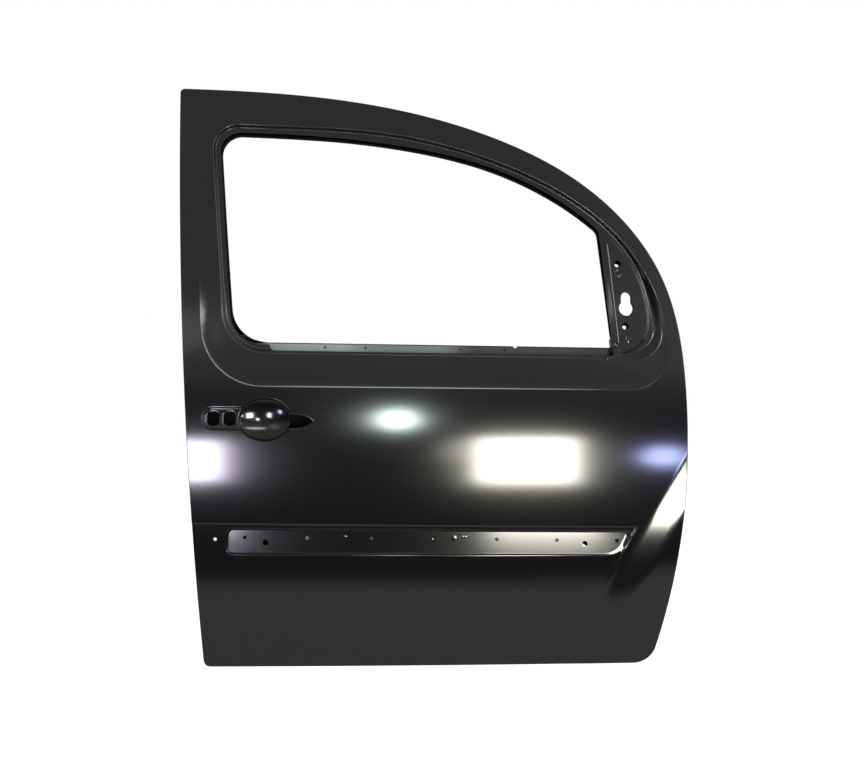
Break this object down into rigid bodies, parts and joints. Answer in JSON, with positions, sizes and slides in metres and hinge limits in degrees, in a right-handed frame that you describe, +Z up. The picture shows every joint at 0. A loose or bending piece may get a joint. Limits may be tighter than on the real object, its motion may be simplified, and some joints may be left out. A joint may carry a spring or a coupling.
{
  "type": "van front door shell",
  "caption": "Bare pressed-steel shell of a van's front side door with a window frame, hemmed outer skin, hinge face and inner panel.",
  "frame": {"origin": "on the flat hinge face, midway between the two hinges and on the line of their bolts", "axes": "+X forward, out of the hinge face; +Y inboard; +Z up"},
  "size_m": [1.1204, 0.1721, 1.2805],
  "materials": {
    "outer_ecoat": "black electrocoat, semi-gloss",
    "inner_ecoat": "black electrocoat, satin",
    "zinc_steel": "thinly coated zinc",
    "beam_steel": "black electrocoat, satin"
  },
  "bodies": {
    "root": {"outer_panel": "outer_ecoat", "window_frame": "inner_ecoat", "inner_panel_front": "inner_ecoat", "inner_panel": "inner_ecoat", "inner_panel_rear": "inner_ecoat", "outer_belt_reinforcement": "inner_ecoat", "handle_reinforcement": "inner_ecoat", "mirror_reinforcement": "inner_ecoat", "inner_belt_reinforcement": "zinc_steel", "side_impact_beam": "beam_steel", "beam_front_bracket": "inner_ecoat", "beam_rear_bracket": "inner_ecoat", "upper_hinge_reinforcement": "inner_ecoat", "lower_hinge_reinforcement": "inner_ecoat", "check_strap_reinforcement": "inner_ecoat", "latch_reinforcement": "inner_ecoat", "front_glass_channel": "inner_ecoat", "rear_glass_channel": "inner_ecoat"}
  },
  "joints": []
}
